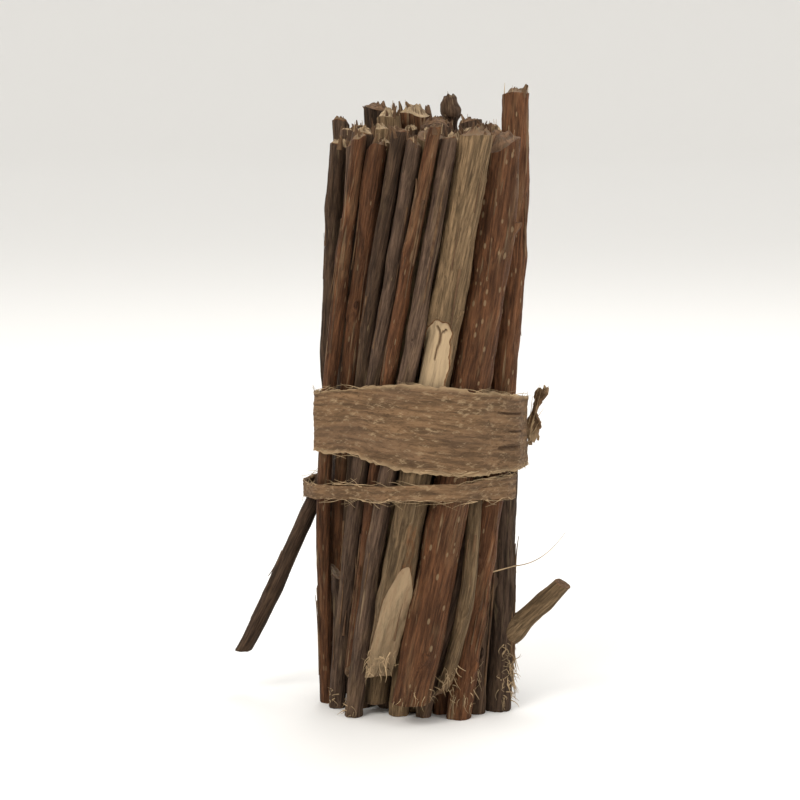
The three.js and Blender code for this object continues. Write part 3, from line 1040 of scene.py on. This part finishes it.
# The strip's route: degrees round the bundle, height over the band's middle and width in millimetres, and
# layers of strip beneath it. It is wide where it first passes the front and narrows into a second turn.
ROUTE = (
    (100, 3.6, 7.0, 0),
    (140, 4.3, 7.5, 0),
    (180, 4.6, 8.0, 0),
    (225, 4.4, 8.0, 0),
    (270, 4.2, 8.2, 0),
    (315, 5.6, 10.4, 0),
    (360, 5.2, 13.8, 0),
    (400, 4.1, 12.8, 0),
    (430, 3.1, 11.4, 0.6),
    (450, 2.4, 10.8, 1),
    (480, 1.2, 9.4, 1),
    (520, -1.2, 7.6, 1),
    (560, -3.9, 5.4, 0.5),
    (600, -6.3, 3.2, 0),
    (630, -7.3, 2.2, 0),
    (675, -5.8, 2.2, 0),
    (720, -4.8, 2.4, 0),
    (760, -4.9, 3.3, 0),
    (790, -5.6, 3.8, 0),
)
ROUTE_ANGLES = np.array([point[0] for point in ROUTE], dtype=float)

# Splits along the strip: from one angle to another, and how far across, from -1 at its lower edge to 1
SLITS = (
    (386, 428, 0.45),
    (396, 440, 0.02),
    (402, 446, -0.42),
    (738, 770, 0.2),
    (200, 240, -0.3),
)


def route_at(degrees):
    """Height, width and layers of the strip at an angle, in metres and layers."""
    columns = [[point[k] for point in ROUTE] for k in (1, 2, 3)]
    height, width, layers = (np.interp(degrees, ROUTE_ANGLES, column) for column in columns)
    return height * MM, width * MM, layers


def band_point(degrees, across=0.0, lift=0.0):
    """A point on the strip's middle surface. across runs from -1 at its lower edge to 1 at its upper edge."""
    settings = bpy.context.scene.band_settings
    height, width, layers = route_at(degrees)
    up = settings.middle + height + across * width / 2
    out = taut_radius(degrees, settings.middle + height) + settings.gap + settings.thickness / 2
    out += layers * (settings.thickness + settings.gap) + lift
    return Vector((*(AXIS + out * round_axis(degrees)), up))


def add_wall(piece, thickness):
    """Gives a flat piece its thickness, half of it on each side."""
    wall = piece.modifiers.new("Wall", "SOLIDIFY")
    wall.thickness = thickness
    wall.offset = 0


def lay_route():
    """The curve that the strip is wound along, with the distance along it of each angle."""
    angles = np.arange(ROUTE_ANGLES[0], ROUTE_ANGLES[-1] + 1, 7.5)
    points = [band_point(a) for a in angles]
    bpy.ops.object.add(type="CURVE")
    route = bpy.context.object
    route.data.dimensions = "3D"
    route.data.twist_mode = "Z_UP"
    route.data.resolution_u = 8
    spline = route.data.splines.new("BEZIER")
    spline.bezier_points.add(len(points) - 1)
    for bezier, point in zip(spline.bezier_points, points):
        bezier.co = point
        bezier.handle_left_type = bezier.handle_right_type = "AUTO"
    steps = [(b - a).length for a, b in zip(points, points[1:])]
    along = np.concatenate(([0], np.cumsum(steps)))
    return route, angles, along * spline.calc_length() / along[-1]


def lay_strip(angles, along):
    """The flat strip: one column of a grid for each point of the route, at its width, finely divided."""
    deselect()
    columns = len(ROUTE)
    bpy.ops.mesh.primitive_grid_add(
        x_subdivisions=columns - 1, y_subdivisions=1, size=1, rotation=(math.pi / 2, 0, 0)
    )
    strip = bpy.context.object
    strip.name = strip.data.name = "bast_strip"
    bpy.ops.object.transform_apply(location=False, rotation=True, scale=False)
    bpy.ops.object.mode_set(mode="EDIT")
    aside = 2  # metres, which keep the columns that are placed clear of those that are not
    for k in reversed(range(columns)):
        start = k / (columns - 1) - 0.5
        goal = float(np.interp(ROUTE_ANGLES[k], angles, along))
        choose(strip, "verts", lambda v: abs(v.co.x - start) < 1e-4)
        bpy.ops.transform.resize(value=(1, 1, route_at(ROUTE_ANGLES[k])[1]), center_override=(start, 0, 0))
        bpy.ops.transform.translate(value=(goal + aside - start, 0, 0))
    bpy.ops.mesh.select_all(action="SELECT")
    bpy.ops.transform.translate(value=(-aside, 0, 0))
    choose(strip, "edges", lambda e: abs(e.verts[0].co.x - e.verts[1].co.x) < SAME_PLACE)
    bpy.ops.mesh.subdivide(number_cuts=29)
    choose(strip, "edges", lambda e: abs(e.verts[0].co.x - e.verts[1].co.x) > SAME_PLACE)
    bpy.ops.mesh.subdivide(number_cuts=25)
    bpy.ops.object.mode_set(mode="OBJECT")
    return strip


def slit_weights(angle, across, half):
    """How deep each point lies in a split, which is widest in its middle and wavers a little."""
    weights = np.zeros(len(angle))
    for start, end, middle in SLITS:
        share = np.clip((angle - start) / (end - start), 0, 1)
        waver = 0.02 * np.sin(7 * share + start)
        wide = 0.26 * MM * np.sin(math.pi * share) + 1e-9
        weights = np.maximum(weights, smooth_step(1.0, 0.3, np.abs(across - middle - waver) * half / wide))
    return weights


def shape_strip(strip, angles, along):
    """Tears the strip's edges, opens its splits, lets it wander, thickens it and raises its fibres."""
    settings = bpy.context.scene.band_settings
    flat = places_of(strip)
    angle = np.interp(flat[:, 0], along, angles)
    half = route_at(angle)[1] / 2
    across = flat[:, 2] / half
    edge = np.clip(np.abs(across), 0, 1) ** 5 * np.clip(half / (4 * MM), 0.25, 1)
    ends = np.clip(1 - np.minimum(flat[:, 0], along[-1] - flat[:, 0]) / (3 * MM), 0, 1)
    set_weights(strip, "edge", edge)
    set_weights(strip, "ends", ends)
    set_weights(strip, "slit", slit_weights(angle, across, half))
    guides = [
        add_displace(strip, "Tear", 1.1 * MM, (5, 1, 2), settings.ragged, 0.3, "edge", axis="Z"),
        add_displace(
            strip, "Nicks", 0.5 * MM, (2, 1, 1), 0.7 * settings.ragged, 0.5, "edge", axis="Z", hard=True
        ),
        add_displace(strip, "Torn end", 0.6 * MM, (2, 1, 1), 2.5 * MM, 0.2, "ends", axis="X"),
        add_displace(strip, "Wander", 5 * MM, (1.6, 1, 1), 0.5 * MM, 0.7, axis="Y"),
    ]
    add_push(strip, "Splits", 0.4 * MM, "slit", "Y")
    add_wall(strip, settings.thickness)
    guides += [
        add_displace(strip, "Fibres", 0.45 * MM, (9, 1, 1), 0.26 * MM, 0.9),
        add_displace(strip, "Flecks", 0.7 * MM, (2.5, 1, 1), 0.16 * MM, 1.3, hard=True),
    ]
    apply_modifiers(strip, guides)


def write_bast(piece, grain):
    """Stores what the bast's material reads. grain is the piece laid flat along X, in millimetres."""
    values = {"torn": weights_of(piece, "edge"), "slit": weights_of(piece, "slit"), "grain": grain}
    piece.vertex_groups.clear()
    for name, each in values.items():
        write_values(piece, name, each)


def wind_strip(strip, route):
    """Winds the flat strip along its route."""
    write_bast(strip, places_of(strip) / MM)
    winding = strip.modifiers.new("Wind", "CURVE")
    winding.object = route
    winding.deform_axis = "POS_X"
    apply_modifiers(strip, [route])
    face_outwards()


FLAKE_ANGLE = 450  # where on the strip's route the flake stands off
FLAKE_WIDTH = 2.6 * MM
FLAKE_HEIGHT = 8.4 * MM


def tear_flake():
    """A torn flake of the strip that stands off the band at the right: a ribbon twisted about its middle."""
    deselect()
    upright = (math.pi / 2, 0, 0)
    bpy.ops.mesh.primitive_grid_add(x_subdivisions=12, y_subdivisions=36, size=1, rotation=upright)
    flake = bpy.context.object
    flake.name = flake.data.name = "bast_flake"
    flake.scale = (FLAKE_WIDTH, FLAKE_HEIGHT, 1)
    bpy.ops.object.transform_apply(location=False, rotation=True, scale=True)
    flat = places_of(flake)
    bpy.ops.object.mode_set(mode="EDIT")
    for place, share, lean, turn in ((-0.5, 0.75, 0.0, -0.5), (0.02, 0.55, 0.3, 1.5), (0.5, 0.6, 1.6, 0.6)):
        level = (0, 0, place * FLAKE_HEIGHT)
        choose(flake, "verts", lambda v: abs(v.co.z - level[2]) < FLAKE_HEIGHT / 60)
        bpy.ops.transform.resize(value=(share, 1, 1), center_override=level, proportional_size=3 * MM, **SOFT)
        bpy.ops.transform.rotate(
            value=turn, orient_axis="Z", center_override=level, proportional_size=4 * MM, **SOFT
        )
        bpy.ops.transform.translate(value=(lean * MM, 0, 0), proportional_size=5 * MM, **SOFT)
    bpy.ops.object.mode_set(mode="OBJECT")
    rows = np.abs(flat[:, 2]) / FLAKE_HEIGHT * 2
    set_weights(flake, "edge", 0.35 + 0.6 * rows**2)
    set_weights(flake, "ends", np.clip(4 * rows - 3, 0, 1))
    set_weights(flake, "slit", stroke(flat[:, 0] / MM, flat[:, 2] / MM, ((0.3, -3.5), (0.5, 3.6)), 0.22))
    guides = [
        add_displace(flake, "Torn ends", 0.5 * MM, (1, 1, 3), 3.5 * MM, 0.25, "ends", axis="Z", hard=True),
        add_displace(flake, "Tear", 0.6 * MM, (1, 1, 2.5), 1.1 * MM, 0.4, axis="X"),
        add_displace(flake, "Curl", 1.6 * MM, (1, 1, 1), 0.9 * MM, 0.6, axis="Y"),
    ]
    add_wall(flake, 0.4 * MM)
    guides.append(add_displace(flake, "Fibres", 0.35 * MM, (1, 1, 8), 0.25 * MM, 0.9))
    apply_modifiers(flake, guides)
    write_bast(flake, places_of(flake)[:, (2, 1, 0)] / MM)
    flake.location = band_point(FLAKE_ANGLE, -0.1, 1.0 * MM) + Vector((0, 0, FLAKE_HEIGHT / 2 - 0.6 * MM))
    bpy.ops.object.transform_apply(location=True, rotation=False, scale=False)
    bpy.ops.object.shade_smooth_by_angle(angle=SMOOTH_ANGLE)
    finish_piece(flake, "bast_skin")


class TWIGS_OT_band(bpy.types.Operator):
    """Model the bast strip that is wound round the twigs, with its torn flake"""

    bl_idname = "twigs.band"
    bl_label = "Bast band"

    def execute(self, context):
        make_materials()
        route, angles, along = lay_route()
        strip = lay_strip(angles, along)
        shape_strip(strip, angles, along)
        wind_strip(strip, route)
        hand_over(strip, BAND, "bast_skin")
        tear_flake()
        return {"FINISHED"}


# Loose fibres

STRAND_RADIUS = 0.07 * MM  # of a strand whose thickness is 1


def add_strand(curve, points, thickness):
    """A tapering strand through the points."""
    strand = curve.splines.new("POLY")
    strand.points.add(len(points) - 1)
    for k, (spot, point) in enumerate(zip(strand.points, points)):
        spot.co = (*point, 1)
        spot.radius = thickness * (1 - 0.75 * k / (len(points) - 1))


# Where the strip's edges show: the angles, and which edge
OPEN_EDGES = ((240, 500, 1), (290, 520, -1), (605, 785, -1), (605, 785, 1))


def band_strands(curve, chance):
    """Fibres that leave the strip's torn edges and lie along it."""
    for _ in range(bpy.context.scene.band_settings.fibres):
        start, end, side = chance.choice(OPEN_EDGES)
        angle = chance.uniform(start, end)
        reach = chance.uniform(5, 22) * chance.choice((-1, 1))
        drift = chance.uniform(0.1, 1.2) * MM
        rise = chance.uniform(0.05, 0.7) * MM
        points = []
        for k in range(6):
            share = k / 5
            here = min(max(angle + reach * share, start), end)
            point = band_point(here, side * 0.95, 0.3 * MM + rise * share**2)
            point.z += side * drift * share**1.5 + 0.2 * MM * math.sin(5 * share + angle)
            points.append(point)
        add_strand(curve, points, chance.uniform(0.5, 1.3))


def tail_strands(curve, chance):
    """Loose fibres about the torn flake at the right."""
    for _ in range(14):
        root = band_point(FLAKE_ANGLE + chance.uniform(-3, 3), chance.uniform(-0.4, 0.2), 0.4 * MM)
        tip = band_point(FLAKE_ANGLE + chance.uniform(-4, 4), 0, chance.uniform(0.8, 3.0) * MM)
        tip.z = root.z + chance.uniform(2.5, 8.5) * MM
        middle = root.lerp(tip, 0.5) + Vector((chance.uniform(-0.6, 0.8), chance.uniform(-0.8, 0.8), 0)) * MM
        points = [root.lerp(middle, k / 6).lerp(middle.lerp(tip, k / 6), k / 6) for k in range(7)]
        add_strand(curve, points, chance.uniform(0.7, 1.8))


def broken_tops():
    """The twigs whose upper ends are broken, all but the one with a knob."""
    return (solid for node, solid in SOLIDS.items() if CAGE_WORK.get(node) is not round_top)


def end_strands(curve, chance):
    """Thin splinters that stand at the rims of the upper ends."""
    for solid in broken_tops():
        for _ in range(chance.randrange(1, 4)):
            side = any_side(chance)
            base = solid.point(solid.top) + side * solid.radius(solid.top) * 0.85
            lean = side * chance.uniform(-0.3, 0.4) * MM
            tip = base + lean + Vector((0, 0, chance.uniform(0.3, 1.5) * MM))
            points = [base - Vector((0, 0, 0.8 * MM)), base + lean * 0.3, tip]
            add_strand(curve, points, chance.uniform(0.8, 1.8))


def end_splinters(curve, chance):
    """Broken slivers of wood that stand up all over the upper ends."""
    for solid in broken_tops():
        for _ in range(chance.randrange(2, 7)):
            side = any_side(chance)
            share = math.sqrt(chance.random())
            root = Vector((*solid.centre(solid.top), solid.top - 0.9 * MM))
            base = root + side * solid.radius(solid.top) * 0.9 * share
            lean = beside(side, chance.uniform(-2, 2)) * chance.uniform(0, 0.9) * MM
            tall = chance.uniform(0.8, 1.4) * chance.uniform(0.8, 2.0) * MM
            middle = base + lean * 0.4 + Vector((0, 0, 0.6 * tall))
            tip = base + lean + Vector((0, 0, tall))
            add_strand(curve, [base, middle, tip], chance.uniform(2.5, 9.0))


# Where slivers of bark peel from the rim: the lowest and the highest, under and over the band, and how many
PEELING = ((3 * MM, 31 * MM, 7), (57 * MM, 88 * MM, 4))


def bark_slivers(curve, chance):
    """Long slivers of bark that lie along the rim's twigs and stand off at one end."""
    for solid in (each for each in SOLIDS.values() if on_rim(each)):
        for low, high, most in PEELING:
            lowest = max(low, solid.foot + 1 * MM)
            highest = min(high, solid.top - 2 * MM)
            for _ in range(chance.randrange(1, most + 1)):
                long = chance.uniform(0.12, 0.5) * (highest - lowest)
                start = chance.uniform(lowest, highest - long)
                out = beside(outward(solid, start), chance.uniform(-1.2, 1.2))
                peel = chance.uniform(0.05, 0.6) * MM
                upward = chance.random() < 0.5
                points = []
                for k in range(7):
                    share = k / 6
                    height = start + long * (share if upward else 1 - share)
                    off = solid.radius(height) - 0.05 * MM + peel * share**3
                    points.append(solid.point(height) + out * off)
                add_strand(curve, points, chance.uniform(1.5, 4.5))


# Feet that are frayed: the twig, how many fibres, and how high the fraying reaches in millimetres
FRAYED_FEET = (
    ("shoot_twig", 90, 11),
    ("edge_twig", 26, 10),
    ("pale_twig", 34, 5),
    ("right_slim_twig", 24, 5),
    ("red_twig", 16, 3),
    ("left_front_twig", 12, 3),
    ("left_twig", 10, 3),
    ("slim_twig_2", 8, 3),
    ("slim_twig_4", 10, 3),
)


def foot_strands(curve, chance):
    """Fibres peeled from frayed feet, curling out and down but not below the floor."""
    for node, count, high in FRAYED_FEET:
        solid = SOLIDS[node]
        for _ in range(count):
            start = solid.foot + chance.uniform(0.15, 1.0) * high * MM
            out = beside(outward(solid, start), chance.uniform(-1.3, 1.3))
            base = solid.point(start) + out * solid.radius(start)
            away = chance.uniform(0.1, 1.3) * MM
            drop = min(chance.uniform(0.6, 3.5) * MM, start - 0.4 * MM) * chance.choice((1, 1, 0.3, -0.5))
            twist = chance.uniform(-1.2, 1.2) * MM
            points = []
            for k in range(6):
                share = k / 5
                curl = beside(out, math.pi / 2) * twist * math.sin(2.4 * share)
                points.append(base + out * away * share**1.5 + curl - Vector((0, 0, drop * share)))
            add_strand(curve, points, chance.uniform(0.5, 1.5))


def tendril_strand(curve, _chance):
    """One long thin fibre that lies on the right edge of the front and curves up and away from it."""
    edge, shoot = SOLIDS["edge_twig"], SOLIDS["shoot_twig"]
    height = 23 * MM
    start = edge.point(height) + Vector((-0.2, -1.06, 0)) * edge.radius(height)
    turn = shoot.point(height) + Vector((0.85, -0.75, 0)) * shoot.radius(height)
    points = [start.lerp(turn, share) for share in (0, 0.35, 0.7)]
    for k in range(12):
        share = k / 11
        points.append(turn + Vector((8 * share, -1.5 * share, 1.2 * share + 4.6 * share**2.4)) * MM)
    add_strand(curve, points, 1.7)


class TWIGS_OT_fibres(bpy.types.Operator):
    """Model the loose fibres of the band and the fibres and splinters of the twigs"""

    bl_idname = "twigs.fibres"
    bl_label = "Loose fibres"

    def execute(self, context):
        make_materials()
        chance = random.Random(5)
        for name, skin, slot, makers in (
            ("band_fibres", "fibre_skin", "bast", (band_strands, tail_strands)),
            ("twig_fibres", "fibre_skin", "bast", (end_strands, foot_strands, tendril_strand)),
            ("twig_splinters", "splinter_skin", "bark_red", (end_splinters, bark_slivers)),
        ):
            deselect()
            bpy.ops.object.add(type="CURVE")
            strands = context.object
            strands.name = name
            strands.data.dimensions = "3D"
            strands.data.bevel_depth = STRAND_RADIUS
            strands.data.bevel_resolution = 0
            strands.data.use_fill_caps = True
            for make in makers:
                make(strands.data, chance)
            bpy.ops.object.convert(target="MESH")
            strands = context.object
            strands.data.name = name
            finish_piece(strands, skin)
        return {"FINISHED"}


# Stage

# The floor is a bowl, so that no horizon shows. All in metres
FLOOR_RADIUS = 5
WALL_HEIGHT = 3
WALL_CURVE = 2

# Each lamp's name, place, size, share of the key light's power, and colour
LAMPS = (
    ("key", (-0.35, -0.45, 0.55), 0.35, 1.0, (1, 0.97, 0.93)),
    ("fill", (0.5, -0.35, 0.25), 0.4, 0.35, (0.96, 0.98, 1)),
    ("top", (0.1, 0.3, 0.6), 0.4, 0.6, (1, 1, 1)),
)


def add_lamp(name, place, aim, size, power, colour):
    lamp = bpy.data.lights.new(name, "AREA")
    lamp.shape = "DISK"
    lamp.size = size
    lamp.energy = power
    lamp.color = colour
    thing = bpy.data.objects.new(name, lamp)
    bpy.context.scene.collection.objects.link(thing)
    thing.location = place
    thing.rotation_euler = (Vector(aim) - Vector(place)).to_track_quat("-Z", "Y").to_euler()


class TWIGS_OT_stage(bpy.types.Operator):
    """Set the floor, the light and the camera"""

    bl_idname = "twigs.stage"
    bl_label = "Stage"

    def execute(self, context):
        settings = context.scene.stage_settings
        deselect()
        bpy.ops.mesh.primitive_circle_add(vertices=96, radius=FLOOR_RADIUS, fill_type="NGON")
        floor = context.object
        floor.name = "floor"
        bpy.ops.object.mode_set(mode="EDIT")
        choose(floor, "edges", lambda e: e.is_boundary)
        bpy.ops.mesh.extrude_region_move(TRANSFORM_OT_translate={"value": (0, 0, WALL_HEIGHT)})
        choose(floor, "edges", lambda e: max(v.co.z for v in e.verts) < SAME_PLACE)
        bpy.ops.mesh.bevel(offset=WALL_CURVE, segments=16)
        bpy.ops.object.mode_set(mode="OBJECT")
        bpy.ops.object.shade_smooth()
        material, _, surface = new_material("floor")
        surface.inputs["Base Color"].default_value = (0.85, 0.84, 0.82, 1)
        surface.inputs["Roughness"].default_value = 0.9
        floor.data.materials.append(material)

        world = bpy.data.worlds.new("Soft room")
        context.scene.world = world
        world.use_nodes = True
        sky = world.node_tree.nodes["Background"].inputs
        sky["Color"].default_value = (1, 0.99, 0.97, 1)
        sky["Strength"].default_value = 1.0
        aim = (*AXIS, 0.05)
        for name, place, size, share, colour in LAMPS:
            add_lamp(name, place, aim, size, share * settings.key, colour)

        lens = bpy.data.cameras.new("camera")
        lens.lens = settings.lens
        camera = bpy.data.objects.new("camera", lens)
        context.scene.collection.objects.link(camera)
        away = settings.view_height / 2 / math.tan(lens.angle / 2)
        low, high = (Vector(corner) for corner in CAD_BOX)
        middle = (low + high) / 2
        turn = settings.elevation
        camera.location = middle + away * Vector((0, -math.cos(turn), math.sin(turn)))
        camera.rotation_euler = (middle - camera.location).to_track_quat("-Z", "Y").to_euler()
        context.scene.camera = camera
        context.scene.view_settings.view_transform = "Standard"
        return {"FINISHED"}


class TWIGS_PT_panel(bpy.types.Panel):
    """Lists the steps that make the bundle"""

    bl_label = "Twig bundle"
    bl_space_type = "VIEW_3D"
    bl_region_type = "UI"
    bl_category = "Twigs"

    def draw(self, context):
        for operator in OPERATORS:
            self.layout.operator(operator.bl_idname)
        for name in SETTINGS:
            group = getattr(context.scene, name)
            for key in group.__annotations__:
                self.layout.prop(group, key)


OPERATORS = (TWIGS_OT_rim, TWIGS_OT_filling, TWIGS_OT_shoot, TWIGS_OT_band, TWIGS_OT_fibres, TWIGS_OT_stage)
SETTINGS = {
    "twig_settings": TwigSettings,
    "colour_settings": ColourSettings,
    "band_settings": BandSettings,
    "stage_settings": StageSettings,
}


def register():
    for kind in (*SETTINGS.values(), *OPERATORS, TWIGS_PT_panel):
        bpy.utils.register_class(kind)
    for name, kind in SETTINGS.items():
        setattr(bpy.types.Scene, name, PointerProperty(type=kind))


def unregister():
    for name in SETTINGS:
        delattr(bpy.types.Scene, name)
    for kind in reversed((*SETTINGS.values(), *OPERATORS, TWIGS_PT_panel)):
        bpy.utils.unregister_class(kind)


def main():
    register()
    bpy.ops.twigs.rim()
    bpy.ops.twigs.filling()
    bpy.ops.twigs.shoot()
    bpy.ops.twigs.band()
    bpy.ops.twigs.fibres()
    bpy.ops.twigs.stage()


if __name__ == "__main__":
    main()
